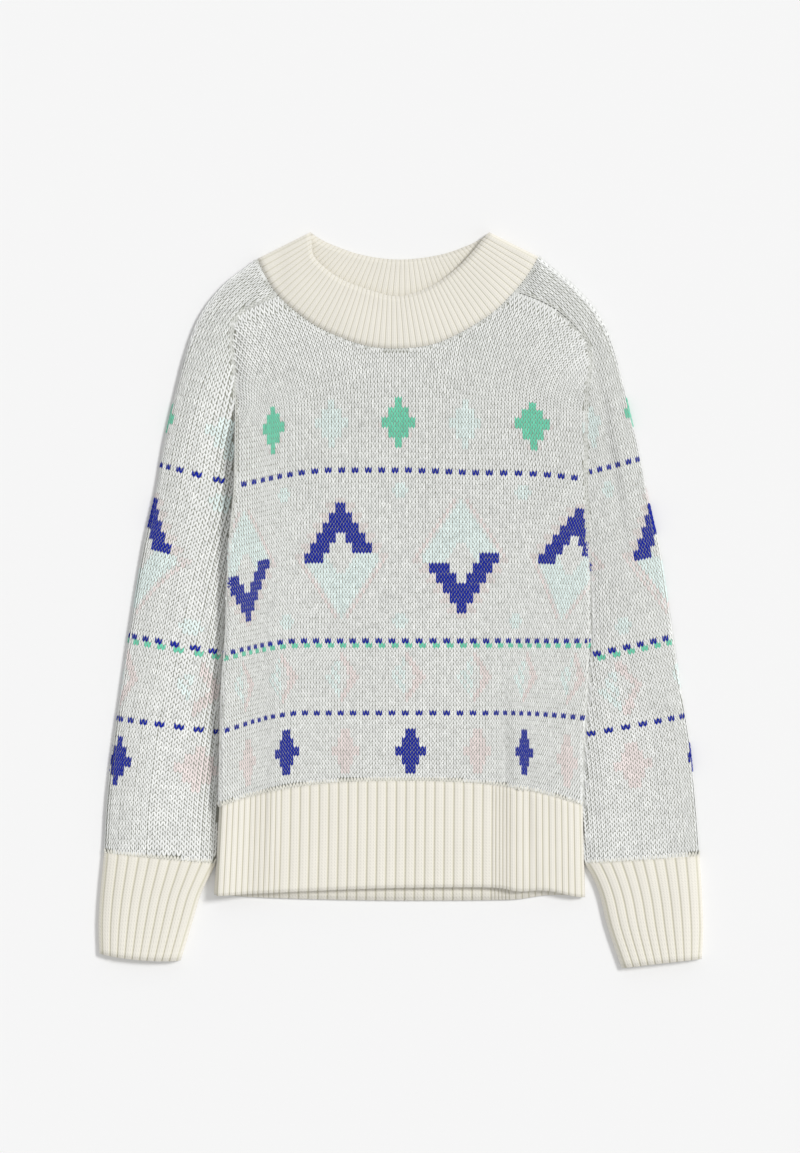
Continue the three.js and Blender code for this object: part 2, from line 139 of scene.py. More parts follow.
# The lower edges of the hem's two halves, x and y from left to right.
FRONT_HEM_EDGE = (
    (-176, -280.0), (-140, -278.6), (-96, -276.5), (-30, -273.8), (30, -272.7), (88, -272.8),
    (112, -276.4), (138, -275.6), (166, -281.6), (178, -282.4),
)
BACK_HEM_EDGE = (
    (-176, -280.2), (-140, -282.6), (-96, -284.2), (-30, -285.6), (30, -285.8), (88, -285.4),
    (112, -284.6), (138, -280.8), (166, -281.0), (178, -280.6),
)

# Each row: from x, to x, ribs.
HEM_RIBS = ((-172, -144, 5), (-144, -114, 6), (-114, 88, 22), (88, 105, 5), (105, 174, 11))
CUFF_RIBS = 10
COLLAR_RIBS = 54
COLLAR_BACK_RIBS = 44

# Folds of the solids. Each row: x, y, lean in degrees, reach, width, height.
CAST_FOLDS = (
    (101, -205, -1, 190, 8, 1.7),
    (113, -215, -2, 150, 6, -1.0),
    (128, -190, -4, 170, 9, 1.0),
    (152, -120, 2, 190, 9, 0.8),
    (-124, -190, 3, 160, 9, 1.4),
    (-139, -130, 2, 210, 7, -0.9),
    (-150, -40, -2, 170, 8, 0.8),
    (-124, 150, 6, 110, 10, 1.0),
    (140, 170, -8, 100, 10, 0.9),
    (-192, 180, 14, 110, 12, 1.1),
    (204, 150, -14, 110, 11, 1.0),
    (-208, -60, 6, 150, 12, 0.9),
    (226, -80, -6, 150, 12, 0.9),
    (-232, -190, 4, 100, 9, 0.8),
)

# Finer folds that only the cloth has, in the same columns.
SOFT_FOLDS = (
    (99, -200, -1, 180, 7, -1.6),
    (112, -200, -2, 170, 6.5, 1.9),
    (121, -200, -3, 110, 4.0, -0.7),
    (197, 150, -9, 150, 6.5, -3.4),
    (188, 190, -12, 110, 8, 1.2),
    (-158, 215, 0, 60, 6, -2.4),
    (-170, 120, 3, 140, 8, 0.9),
    (-118, -90, 2, 160, 7, 0.9),
    (-129, -200, 3, 100, 4, -0.9),
    (40, 120, 20, 110, 16, 0.7),
    (-60, 60, -14, 120, 18, 0.6),
    (10, -60, 8, 130, 20, 0.5),
    (215, 30, -8, 120, 9, 1.0),
    (-200, 30, 9, 130, 11, 1.2),
    (-222, -120, 5, 110, 8, -0.8),
    (238, -150, -5, 90, 8, -0.8),
    (-226, -225, 4, 60, 8, 0.9),
    (232, -230, -4, 60, 8, 0.9),
)
SOFT_PUFF = 2.6
SOFT_RIM = 24.0

# Sizes of a stitch, and the courses that are tried, counted down from the first line of dots.
WALE = 3.21
COURSE = 4.764
COURSES = np.arange(-64, 84)

# Colours of the yarns, as red, green and blue in sRGB.
YARNS = {
    "ground": (241, 242, 240),
    "blue": (6, 33, 157),
    "green": (118, 214, 182),
    "mint": (237, 249, 247),
    "pink": (242, 231, 229),
    "faint": (237, 230, 228),
    "seam": (216, 217, 212),
    "rib": (226, 224, 214),
}
# Dark grey of the shells under the stitches: painted shade for the holes between them.
GAP_SHADE_COLOUR = (140, 141, 131)
CREAM = (239, 235, 224)
# The grooves' darker colour is painted shade.
GROOVE_PAINTED_SHADE = (214, 210, 190)


def linear(colour):
    """sRGB bytes to linear values."""
    share = np.asarray(colour, float) / 255
    return np.where(share <= 0.04045, share / 12.92, ((share + 0.055) / 1.055) ** 2.4)


def spline(points, shares):
    """Points of a smooth curve through the given ones, evenly by number of spans."""
    points = np.asarray(points, float)
    last = len(points) - 1
    place = np.clip(np.asarray(shares, float), 0, 1) * last
    first = np.minimum(place.astype(int), last - 1)
    t = (place - first)[:, None]
    p0 = points[np.maximum(first - 1, 0)]
    p1 = points[first]
    p2 = points[first + 1]
    p3 = points[np.minimum(first + 2, last)]
    v0 = (p2 - p0) / 2
    v1 = (p3 - p1) / 2
    cubic = 2 * p1 - 2 * p2 + v0 + v1
    square = -3 * p1 + 3 * p2 - 2 * v0 - v1
    return cubic * t**3 + square * t**2 + v0 * t + p1


def lengths_along(path):
    """How far each point of a polyline lies from its start."""
    return np.concatenate([[0], np.cumsum(np.hypot(*np.diff(path, axis=0).T))])


def by_length(path, distances):
    """Points of a fine polyline at distances along it."""
    along = lengths_along(path)
    return np.stack([np.interp(distances, along, path[:, k]) for k in (0, 1)], axis=1)


def headings(path):
    """Unit steps along a polyline, one at each of its points."""
    ahead = np.gradient(path, axis=0)
    return ahead / np.hypot(*ahead.T)[:, None]


def eased_share(share):
    """A share from 0 to 1 that starts and ends gently."""
    return share * share * (3 - 2 * share)


def to_path(x, y, path):
    """Distance of points from a polyline."""
    points = np.stack([np.ravel(x), np.ravel(y)], axis=1)[:, None]
    start = np.asarray(path)[None, :-1]
    span = np.asarray(path)[None, 1:] - start
    share = np.clip(((points - start) * span).sum(-1) / np.maximum((span**2).sum(-1), 1e-9), 0, 1)
    gap = points - start - share[..., None] * span
    return np.sqrt((gap**2).sum(-1)).min(1).reshape(np.shape(x))


def fold_sum(x, y, folds):
    total = np.zeros(np.shape(x))
    for middle_x, middle_y, lean, reach, width, height in folds:
        turn = math.radians(lean)
        along = ((y - middle_y) * math.cos(turn) + (x - middle_x) * math.sin(turn)) / reach
        across = ((x - middle_x) * math.cos(turn) - (y - middle_y) * math.sin(turn)) / width
        total = total + height * np.exp(-(across**2)) * np.maximum(0, 1 - along**2) ** 2
    return total


def swell(distance, rim):
    return 1 - (1 - np.clip(distance / rim, 0, 1)) ** 2


def side_x(table, column, y):
    """Value of an x column of a sleeve's table at a height y."""
    rows = table[::-1]
    return np.interp(y, rows[:, column + 1], rows[:, column])


def cast_lift(x, y):
    """How far the solids' front stands above their flat thickness."""
    left = x < 0
    fold = np.where(left, side_x(LEFT_SLEEVE, 2, y), side_x(RIGHT_SLEEVE, 2, y))
    seam = np.where(left, side_x(LEFT_SLEEVE, 0, y), side_x(RIGHT_SLEEVE, 0, y))
    to_fold = np.abs(fold) - np.abs(x)
    to_side = np.abs(np.abs(seam) - np.abs(x))
    apart = 1 - eased_share(np.clip((y - SPLIT_TO) / (SPLIT_FROM - SPLIT_TO), 0, 1))
    from_neck = np.hypot((x - NECK[0]) / NECK[2], (y - NECK[1]) / NECK[3]) - 1
    edges = swell(to_fold, PUFF_RIM) * (1 - apart * (1 - swell(to_side, PUFF_RIM)))
    return (PUFF + fold_sum(x, y, CAST_FOLDS)) * edges * np.clip(from_neck * 3, 0, 1)


LEFT_OUTLINE = np.concatenate([LEFT_SLEEVE[:, 2:4], LEFT_CUFF[:, 2:4]])
RIGHT_OUTLINE = np.concatenate([RIGHT_SLEEVE[:, 2:4], RIGHT_CUFF[:, 2:4]])
UNDERARM = 10
LEFT_SIDE = np.concatenate([LEFT_SLEEVE[UNDERARM:, 0:2], [(-177, -282)]])
RIGHT_SIDE = np.concatenate([RIGHT_SLEEVE[UNDERARM:, 0:2], [(175, -282)]])
NECK_SEAM = spline(COLLAR_FRONT[:, 0:2], np.linspace(0, 1, 60))
EDGES = (
    LEFT_OUTLINE, RIGHT_OUTLINE, LEFT_SIDE, RIGHT_SIDE, NECK_SEAM, LEFT_CUFF[:, 0:2], RIGHT_CUFF[:, 0:2]
)


def soft_lift(x, y):
    """What the cloth adds to the solids' height: it is fuller, and has finer folds."""
    near = np.min([to_path(x, y, edge) for edge in EDGES], axis=0)
    underarm = np.clip((y - 30) / 60, 0, 1)
    armhole = np.where(x < 0, side_x(LEFT_SLEEVE, 0, y), side_x(RIGHT_SLEEVE, 0, y))
    valley = np.where(x < 0, 1.5, 0.6) * underarm * np.exp(-(((x - armhole) / 9) ** 2))
    return (SOFT_PUFF - valley) * swell(near, SOFT_RIM) + fold_sum(x, y, SOFT_FOLDS) * swell(near, 12)


# The front's left side stands up beside the sleeve, and the sleeve sinks towards it.
FLANK = 10.5
FLANK_WIDTH = 20.0
FLANK_TOP = 195.0
DIP = 4.6
DIP_WIDTH = 15.0


def flank_lift(x, y, sleeve):
    inward = np.abs(x - side_x(LEFT_SLEEVE, 0, y))
    down = eased_share(np.clip((FLANK_TOP - y) / 60, 0, 1)) * (x < 0)
    if sleeve:
        above_cuff = np.clip((y + 250) / 40, 0, 1)
        return -(DIP + soft_lift(x, y)) * down * above_cuff * np.exp(-((inward / DIP_WIDTH) ** 2))
    return FLANK * down * np.exp(-((inward / FLANK_WIDTH) ** 2))


def body_lift(x, y):
    return cast_lift(x, y) + soft_lift(x, y) + flank_lift(x, y, False)


def sleeve_lift(x, y):
    return cast_lift(x, y) + soft_lift(x, y) + flank_lift(x, y, True)


def mesh_object(name, vertices, faces, material):
    mesh = bpy.data.meshes.new(name)
    mesh.from_pydata([tuple(v) for v in np.asarray(vertices) * MM], [], faces)
    mesh.update()
    made = bpy.data.objects.new(name, mesh)
    bpy.context.scene.collection.objects.link(made)
    mesh.materials.append(material)
    mesh.shade_smooth()
    return made


def plan_uv(mesh):
    """A flat map seen from above, for the finish to be kept in."""
    points = np.empty(len(mesh.vertices) * 3)
    mesh.vertices.foreach_get("co", points)
    plan = points.reshape(-1, 3)[:, :2]
    low = plan.min(0)
    size = (plan.max(0) - low).max()
    corners = np.empty(len(mesh.loops), int)
    mesh.loops.foreach_get("vertex_index", corners)
    layer = mesh.uv_layers.new(name="OFBake")
    layer.data.foreach_set("uv", ((plan[corners] - low) / size * 0.98 + 0.01).ravel())


def colour_points(mesh, colours):
    layer = mesh.attributes.new("yarn", "FLOAT_COLOR", "POINT")
    rgba = np.ones((len(mesh.vertices), 4))
    rgba[:, :3] = colours
    layer.data.foreach_set("color", rgba.ravel())


class Field:
    """A shader socket that sums can be written with."""

    def __init__(self, nodes, socket):
        self.nodes = nodes
        self.socket = socket

    def _join(self, operation, *values):
        node = self.nodes.add("ShaderNodeMath", {"operation": operation}, values)
        return Field(self.nodes, node.outputs[0])

    def __add__(self, other):
        return self._join("ADD", self, other)

    def __radd__(self, other):
        return self._join("ADD", other, self)

    def __sub__(self, other):
        return self._join("SUBTRACT", self, other)

    def __rsub__(self, other):
        return self._join("SUBTRACT", other, self)

    def __mul__(self, other):
        return self._join("MULTIPLY", self, other)

    def __rmul__(self, other):
        return self._join("MULTIPLY", other, self)

    def __abs__(self):
        return self._join("ABSOLUTE", self)

    def sine(self):
        return self._join("SINE", self)

    def fraction(self):
        return self._join("FRACT", self)


class Nodes:
    """Adds nodes to a tree, each with its settings first and then its values or links."""

    def __init__(self, tree):
        self.tree = tree

    def add(self, kind, settings=None, values=()):
        node = self.tree.nodes.new(kind)
        for name, setting in (settings or {}).items():
            setattr(node, name, setting)
        pairs = values.items() if isinstance(values, dict) else enumerate(values)
        for key, value in pairs:
            socket = node.inputs[key]
            if isinstance(value, Field):
                self.tree.links.new(value.socket, socket)
            elif isinstance(value, bpy.types.NodeSocket):
                self.tree.links.new(value, socket)
            else:
                socket.default_value = value
        return node


def wool(name, knit=False):
    """Matt wool in the colour of the yarn attribute. A knit one has its stitches as fine relief, with
    painted shade between its wales and a painted highlight along its legs.
    """
    material = bpy.data.materials.new(name)
    material.use_nodes = True
    tree = material.node_tree
    tree.nodes.clear()
    nodes = Nodes(tree)
    place = nodes.add("ShaderNodeTexCoord").outputs["Object"]
    yarn = nodes.add("ShaderNodeAttribute", {"attribute_name": "yarn"}).outputs["Color"]
    fibre = nodes.add("ShaderNodeTexNoise", values={"Vector": place, "Scale": 1500, "Detail": 3})
    broad = nodes.add("ShaderNodeTexNoise", values={"Vector": place, "Scale": 26, "Detail": 2})
    fibre_height = Field(nodes, fibre.outputs[0])
    broad_height = Field(nodes, broad.outputs[0])
    shade = 0.93 + fibre_height * 0.1 + broad_height * 0.06
    relief = fibre_height * 0.25
    if knit:
        uv = nodes.add("ShaderNodeUVMap", {"uv_map": "Stitches"}).outputs["UV"]
        parts = nodes.add("ShaderNodeSeparateXYZ", values=[uv])
        wale = Field(nodes, parts.outputs["X"])
        course = Field(nodes, parts.outputs["Y"])
        side = abs(wale.fraction() - 0.5)
        leg = ((course + side * 1.3) * (2 * math.pi)).sine()
        relief = relief + leg * 0.22 - side * side * 2.2
        # Painted shade: darker towards the edges of each wale. Painted highlight on the legs' crests
        # and painted shade between them, following the relief.
        shade = shade + leg * 0.022 - side * side * 0.12
    tint = nodes.add("ShaderNodeVectorMath", {"operation": "SCALE"}, {0: yarn, "Scale": shade})
    bump = nodes.add("ShaderNodeBump", values={"Strength": 0.6, "Distance": 0.0005, "Height": relief})
    finish = nodes.add("ShaderNodeBsdfPrincipled", values={
        "Base Color": tint.outputs[0],
        "Roughness": 0.92,
        "Sheen Weight": 0.08,
        "Sheen Roughness": 0.5,
        "Specular IOR Level": 0.25,
        "Normal": bump.outputs[0],
    })
    nodes.add("ShaderNodeOutputMaterial", values=[finish.outputs[0]])
    return material


def plain(name, colour, roughness):
    material = bpy.data.materials.new(name)
    material.use_nodes = True
    finish = material.node_tree.nodes["Principled BSDF"]
    finish.inputs["Base Color"].default_value = (*linear(colour), 1)
    finish.inputs["Roughness"].default_value = roughness
    return material


stitch_wool = wool("stitch_wool")
rib_wool = wool("rib_wool", knit=True)
# The shells' material: a dark grey that is painted shade in the holes between the stitches.
painted_gap_shade = plain("gap_painted_shade", GAP_SHADE_COLOUR, 0.95)

# Shells: the cloth behind the stitches, on the form of each solid. They are a dark grey that is painted
# shade for the holes between the stitches.
SHELL_SUNK = 0.56
SHELL_INSET = 0.3
SHELL_CUTS = 3
SHELL_LOWEST = 0.45


def cloth_shell(node, name, lift):
    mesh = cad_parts[node].data.copy()
    mesh.name = name
    form = bmesh.new()
    form.from_mesh(mesh)
    bmesh.ops.remove_doubles(form, verts=form.verts, dist=1e-6)
    bmesh.ops.join_triangles(
        form, faces=form.faces, angle_face_threshold=math.pi, angle_shape_threshold=math.pi
    )
    bmesh.ops.subdivide_edges(form, edges=form.edges, cuts=SHELL_CUTS, use_grid_fill=True)
    form.normal_update()
    points = np.array([v.co for v in form.verts]) / MM
    normals = np.array([v.normal for v in form.verts])
    top = np.clip((points[:, 2] - MIDDLE + 1.2) / 2.4, 0, 1)
    points[:, 2] -= np.sign(normals[:, 2]) * np.clip(np.abs(normals[:, 2]) * 2, 0, 1) * SHELL_SUNK
    points[:, :2] -= normals[:, :2] * SHELL_INSET
    x, y = points[:, 0], points[:, 1]
    points[:, 2] += top * (lift(x, y) - cast_lift(x, y))
    points[:, 2] = np.maximum(points[:, 2], SHELL_LOWEST)
    for vertex, point in zip(form.verts, points):
        vertex.co = Vector(point * MM)
    form.to_mesh(mesh)
    form.free()
    mesh.materials.clear()
    # The dark grey here is painted shade for the holes between the stitches.
    mesh.materials.append(painted_gap_shade)
    mesh.shade_smooth()
    made = bpy.data.objects.new(name, mesh)
    bpy.context.scene.collection.objects.link(made)
    return made


front_cloth = cloth_shell("front_panel", "front_cloth", body_lift)
back_cloth = cloth_shell("back_panel", "back_cloth", body_lift)
left_cloth = cloth_shell("left_saddle_sleeve", "left_sleeve_cloth", sleeve_lift)
right_cloth = cloth_shell("right_saddle_sleeve", "right_sleeve_cloth", sleeve_lift)


# The colourwork chart. Columns are wales to the right, rows are courses down from the first
# line of dots.
def band(course, first, widths, per=2):
    """Half width of a stepped shape at a course, or nothing outside it."""
    step = (course - first) // per
    return widths[step] / 2 if course >= first and step < len(widths) else 0


def arrow(across, course):
    """One large diamond of the second border: a blue arrow with a mint one below it."""
    reach = abs(across)
    outer = band(course, 7, (3, 7, 11, 15, 19, 23))
    inner = band(course, 13, (3, 7, 10.5))
    only_left = course > 16 and across > 0
    if reach < outer and reach >= inner and not only_left:
        return "blue"
    if 6 <= course <= 17 and outer - 0.1 <= reach < outer + 2 + (course % 2):
        return "faint"
    if 16 < course < 30:
        edge = 29.5 - course
        if 1.2 * (21 - course) <= reach < edge:
            return "mint"
        if edge <= reach < edge + 2.2 and int(reach + course) % 2:
            return "pink"
    return None


def chart(wale, course, places):
    """Yarn of one stitch. places holds the middles of each border's motifs."""
    for line, shift in ((0, 2.3), (34, 3.05), (50, -0.05)):
        if course == line and (wale + shift) % 4 < 2:
            return "blue"
    if course == 35 and (wale - 1 + 3.05) % 4 < 2:
        return "green"
    if -14 <= course <= -4:
        for middle, yarn in places["first"]:
            reach = abs(wale - middle + 0.5)
            width = band(course, -14, (2, 6, 10, 6, 2))
            if reach < width:
                return yarn
            if yarn == "green" and width and width <= reach < width + 1 and course % 2:
                return "faint"
    if 6 <= course <= 29:
        for middle, upright in places["second"]:
            across = wale - middle
            found = arrow(across, course) if upright else arrow(-across, 35 - course)
            if found:
                return found
    for first in (3, 29):
        if first <= course <= first + 2:
            for middle in places["small"]:
                if abs(wale - middle) < (2.5 if course == first + 1 else 1.2):
                    return "mint"
    if 37 <= course <= 47:
        for middle in places["third"]:
            across = wale - middle
            part = abs(across) / 5.2 + abs(course - 42) / 5.6
            if across < -0.5 and part < 1 and int(wale + 2 * course) % 3:
                return "mint"
            if across > -0.5 and 0.56 < part < 1.08:
                return "pink"
    if 54 <= course <= 63:
        for middle, yarn in places["fourth"]:
            if abs(wale - middle) < band(course, 54, (2.4, 5.6, 9.6, 5.6, 2.4)):
                return yarn
    return "ground"


def arrows(first, last):
    """Arrows point up and down by turns, 36 wales apart."""
    return [(18 + 36 * k, k % 2 == 1) for k in range(first, last)]


def repeats(first, third, fourth, second, small, reach):
    """The middles of each border's motifs. The small ones of three borders lie 20 wales apart."""
    turns = range(-reach, reach + 1)
    return {
        "first": [(first + 20 * k, "green" if k % 2 == 0 else "mint") for k in turns],
        "second": second,
        "small": small,
        "third": [third + 20 * k for k in turns],
        "fourth": [(fourth + 20 * k, "blue" if k % 2 == 0 else "pink") for k in turns],
    }


def sleeve_arrows(middle):
    return [(middle + 36 * k, k % 2 == 0) for k in range(-1, 2)]


BODY_CHART = repeats(0, 2, 3, arrows(-3, 4), [36 * k for k in range(-3, 4)], 5)
LEFT_CHART = repeats(-4, -0.5, 2.3, sleeve_arrows(-1), [-20, 16], 3)
RIGHT_CHART = repeats(3, 2.1, 2, sleeve_arrows(1.5), [-15, 21], 3)

# Where the wales of the body lie at three lines of dots: wale, then x at each line.
LINE_Y = (123.0, -38.95, -107.35)
HEM_LINE_Y = -171.0
BODY_WALES = np.array([
    (-80, -215.0, -197.0, -193.0),
    (-72, -196.0, -181.0, -177.5),
    (-64, -177.0, -161.5, -158.2),
    (-56, -154.2, -145.6, -142.4),
    (-48, -135.1, -134.8, -130.9),
    (-40, -120.9, -119.5, -117.3),
    (-32, -102.3, -96.2, -95.2),
    (-16, -51.4, -50.7, -50.2),
    (0, -0.8, -0.8, -0.8),
    (16, 50.3, 51.7, 51.6),
    (28, 88.4, 88.8, 88.2),
    (36, 117.0, 108.1, 103.9),
    (44, 144.2, 125.6, 118.8),
    (52, 169.5, 143.6, 134.0),
    (60, 192.0, 163.0, 150.7),
    (68, 215.0, 183.5, 168.8),
    (76, 235.0, 203.0, 187.0),
])
# Over the shoulders the wales fan out and the courses bow down at both ends.
YOKE_FAN = 2.5e-5
YOKE_FROM = 158.0
YOKE_LATER = 14.0
YOKE_REACH = 130.0
YOKE_SOFTNESS = 14.0
# From this height the wales even out, over so many millimetres.
YOKE_EVEN_FROM = 185.0
YOKE_EVEN = 75.0
# How much lower the first line of dots lies at the right than in the middle.
FIRST_LINE_TIP = 2.7
# How far the wales at the right lean in over the first border.
YOKE_LEAN = 4.5


def eased(wale, wales, values):
    """Values between a table's columns, with the corners rounded off."""
    return sum(np.interp(wale + shift, wales, values) for shift in (-4, -2, 0, 2, 4)) / 5


def body_place(wale, course):
    """Where a stitch of the front or back lies in the plan."""
    level = np.interp(course, (-80, 0, 34, 50, 65, 80), (
        LINE_Y[0] + 80 * COURSE, *LINE_Y, HEM_LINE_Y, HEM_LINE_Y - 66
    ))
    at = [eased(wale, BODY_WALES[:, 0], BODY_WALES[:, k]) for k in (1, 2, 3)]
    share = np.clip((LINE_Y[0] - level) / (LINE_Y[0] - LINE_Y[1]), 0, 1)
    lower = np.clip((LINE_Y[1] - level) / (LINE_Y[1] - LINE_Y[2]), 0, 1)
    x = at[0] + (at[1] - at[0]) * share + (at[2] - at[1]) * lower
    yoke = np.clip((level - YOKE_EVEN_FROM) / YOKE_EVEN, 0, 1)
    x = x + (WALE * wale - 0.8 - x) * eased_share(yoke)
    over_line = np.clip((level - LINE_Y[0]) / 43, 0, 1)
    x = x - YOKE_LEAN * np.clip((x - 50) / 80, 0, 1) * over_line
    begins = YOKE_FROM + YOKE_LATER * np.clip((np.abs(x) - 50) / 60, 0, 1)
    above = np.clip(level - begins, 0, YOKE_REACH)
    above = above * above / (above + YOKE_SOFTNESS)
    round_off = YOKE_FAN * np.minimum(x * x, 140.0**2) * above
    x = x * (1 + YOKE_FAN * above**2)
    left = np.interp(course, (-30, 0, 34, 50, 65), (4, 18, 13, 18, 23))
    left_from = np.interp(course, (0, 34), (65, 95))
    left_span = np.interp(course, (0, 34), (100, 75))
    right = np.interp(course, (-30, 0, 34, 50, 65), (2, 6, 0, 5, 23))
    droop = left * np.clip((-x - left_from) / left_span, 0, 2) ** 1.6
    droop = droop + right * np.clip((x - 100) / 75, 0, 2) ** 1.8
    tip = FIRST_LINE_TIP * np.clip((x - 5) / 70, 0, 1) * np.clip(1 - np.abs(course) / 12, 0, 1)
    return x, level - droop - tip - round_off


# Where a sleeve's wales lie: wale, then the distance in from the fold, at the three lines.
LEFT_WALES = (
    ((-2, 0.0), (-1.3, 1.1), (2.7, 7.8), (6.7, 19.2), (10.7, 36.3), (14.7, 58.1), (22, 95.0)),
    ((-0.9, 0.0), (1.95, 6.2), (5.95, 17.2), (9.95, 29.9), (13.95, 45.9), (17.95, 66.2), (25.95, 98.0)),
    (
        (-0.5, 0.0), (1.05, 2.7), (5.05, 11.8), (9.05, 23.6), (13.05, 38.3), (17.05, 57.5),
        (25.05, 94.2), (33, 126),
    ),
)
RIGHT_WALES = (
    ((0.1, 0.0), (0.5, 0.8), (4.5, 9.2), (8.5, 20.1), (12.5, 28.9), (16.5, 37.7), (28, 66.0)),
    (
        (-0.4, 0.0), (1.25, 4.3), (5.25, 15.8), (9.25, 28.5), (13.25, 41.2), (17.25, 55.2),
        (21.25, 69.7), (29, 98),
    ),
    (
        (1.0, 0.0), (2.15, 2.7), (6.15, 12.7), (10.15, 25.5), (14.15, 40.0), (18.15, 56.5),
        (26.15, 89.7), (34, 121),
    ),
)
# Towards the collar the wales even out over so many courses, and the courses open.
STRAP_FROM = -14
STRAP_COURSES = 16
STRAP_OPEN = 1.1
LEFT_LINES = (128.0, -34.0, -112.6)
RIGHT_LINES = (134.0, -35.0, -110.0)
# How much more than square a sleeve's rows slope, in degrees, at five courses.
SLOPE_COURSES = (-22, 0, 34, 50, 80)
LEFT_SLOPES = (0.0, 5.6, 2.1, -0.5, -2.0)
RIGHT_SLOPES = (0.0, 3.0, 4.0, 1.5, -1.0)
# What each sleeve's stitches follow: outline, lines of dots, wales, slopes and the way inward.
SLEEVES = {
    "left": (LEFT_SLEEVE, LEFT_LINES, LEFT_WALES, LEFT_SLOPES, 1),
    "right": (RIGHT_SLEEVE, RIGHT_LINES, RIGHT_WALES, RIGHT_SLOPES, -1),
}


def sleeve_place(side):
    """The plan of one sleeve's stitches, counted in from its fold."""
    table, lines, wales, slopes, inward = SLEEVES[side]
    fold = spline(table[:, 2:4], np.linspace(0, 1, 400))
    along = lengths_along(fold)
    marks = [np.interp(-y, -fold[:, 1], along) for y in lines]
    ahead = headings(fold)

    def place(wale, course):
        wale = np.asarray(wale, float)
        down = np.interp(course, (-60, STRAP_FROM, 0, 34, 50, 84), (
            marks[0] + (STRAP_FROM + (60 + STRAP_FROM) * -STRAP_OPEN) * COURSE,
            marks[0] + STRAP_FROM * COURSE, *marks, marks[2] + 34 * 4.7
        ))
        start = [np.interp(down, along, fold[:, k]) for k in (0, 1)]
        beyond = np.minimum(down, 0) + np.maximum(down - along[-1], 0)
        tangent = [np.interp(down, along, ahead[:, k]) for k in (0, 1)]
        start = [start[k] + beyond * tangent[k] for k in (0, 1)]
        at = [np.interp(wale, *np.array(pairs).T) for pairs in wales]
        share = np.clip(np.asarray(course) / 34, 0, 1)
        lower = np.clip((np.asarray(course) - 34) / 16, 0, 1)
        inside = at[0] + (at[1] - at[0]) * share + (at[2] - at[1]) * lower
        strap = np.clip((STRAP_FROM - np.asarray(course)) / STRAP_COURSES, 0, 1)
        inside = inside + (WALE * (wale - wales[0][0][0]) - inside) * eased_share(strap)
        more = np.radians(np.interp(course, SLOPE_COURSES, slopes))
        heading = np.arctan2(tangent[1], tangent[0]) + inward * (math.pi / 2 - more)
        return start[0] + inside * np.cos(heading), start[1] + inside * np.sin(heading)

    return place


def lattice(place, wales, courses):
    """Plan positions of all stitches, with the turn and the size of each cell."""
    wale, course = [grid.ravel().astype(float) for grid in np.meshgrid(wales, courses)]
    x, y = place(wale, course)
    right = np.subtract(place(wale + 0.5, course), place(wale - 0.5, course))
    up = np.subtract(place(wale, course - 0.5), place(wale, course + 0.5))
    lean = np.arctan2(up[1], up[0]) - math.pi / 2
    tilt = np.arctan2(right[1], right[0])
    flip = np.abs(np.arctan2(np.sin(tilt - lean), np.cos(tilt - lean))) > math.pi / 2
    tilt = np.where(flip, tilt + math.pi, tilt)
    tilt = lean + np.arctan2(np.sin(tilt - lean), np.cos(tilt - lean))
    return {
        "wale": wale, "course": course, "x": x, "y": y,
        "turn": lean + 0.35 * (tilt - lean),
        "wide": np.hypot(*right), "long": np.hypot(*up),
    }


# Rays start this far above or below the cloth, and stitches stand where it isn't too steep.
RAY_START = 60.0
STEEPEST = 0.25
# A stitch whose middle misses the cloth is tried a little along and a little across its wale.
NUDGES = ((0, 0), (1, 0), (-1, 0), (0, 1), (0, -1))


def landed(shell, plan, under):
    """Keeps the stitches that meet a shell, with their height and the cloth's normal there."""
    tree = BVHTree.FromObject(shell, bpy.context.evaluated_depsgraph_get())
    start = -RAY_START if under else RAY_START
    aim = Vector((0, 0, 1 if under else -1))
    kept, places, normals = [], [], []
    for k in range(len(plan["x"])):
        turn = plan["turn"][k]
        tall = 0.45 * plan["long"][k]
        broad = 0.45 * plan["wide"][k]
        for along, across in NUDGES:
            x = plan["x"][k] - tall * along * math.sin(turn) + broad * across * math.cos(turn)
            y = plan["y"][k] + tall * along * math.cos(turn) + broad * across * math.sin(turn)
            hit, normal, _, _ = tree.ray_cast(Vector((x, y, start)) * MM, aim)
            if hit is not None and normal.z * (-1 if under else 1) > STEEPEST:
                kept.append(k)
                places.append((x, y, hit.z / MM))
                normals.append(tuple(normal))
                break
    found = {key: np.asarray(value)[kept] for key, value in plan.items()}
    found["x"], found["y"], found["z"] = np.array(places).T
    found["normal"] = np.array(normals).reshape(-1, 3)
    return found


def euler_for(turn, normal):
    """Turns a stitch about the vertical, then tilts it to stand on the cloth."""
    side = np.cos(turn) * normal[:, 0] + np.sin(turn) * normal[:, 1]
    ahead = -np.sin(turn) * normal[:, 0] + np.cos(turn) * normal[:, 1]
    return np.stack([-np.arcsin(np.clip(ahead, -1, 1)), np.arctan2(side, normal[:, 2]), turn], axis=1)


def stitch_mesh():
    """One knit stitch: two legs that meet below, one unit wide and high."""
    vertices, faces = [], []
    for side in (-1, 1):
        base = len(vertices)
        top = np.array([0.375 * side, 0.80, -0.25])
        bottom = np.array([0.07 * side, -0.72, -0.25])
        run = bottom - top
        across = np.array([0.195, 0.055 * side, 0])
        for share, wide, high in ((0.27, 0.95, 1.1), (0.70, 1.0, 1.25)):
            middle = top + run * share
            for edge, height in ((-1, 0.25), (0, high), (1, 0.25)):
                vertices.append(middle + across * edge * wide + np.array([0, 0, height]))
        vertices.append(top)
        vertices.append(bottom)
        near, far = base + 6, base + 7
        faces += [(near, base, base + 1), (near, base + 1, base + 2)]
        for k in (0, 1):
            faces.append((base + k, base + k + 3, base + k + 4, base + k + 1))
        faces += [(far, base + 4, base + 3), (far, base + 5, base + 4)]
    mesh = bpy.data.meshes.new("stitch")
    mesh.from_pydata([tuple(v) for v in vertices], [], faces)
    mesh.update()
    mesh.shade_smooth()
    return bpy.data.objects.new("stitch", mesh)


ONE_STITCH = stitch_mesh()


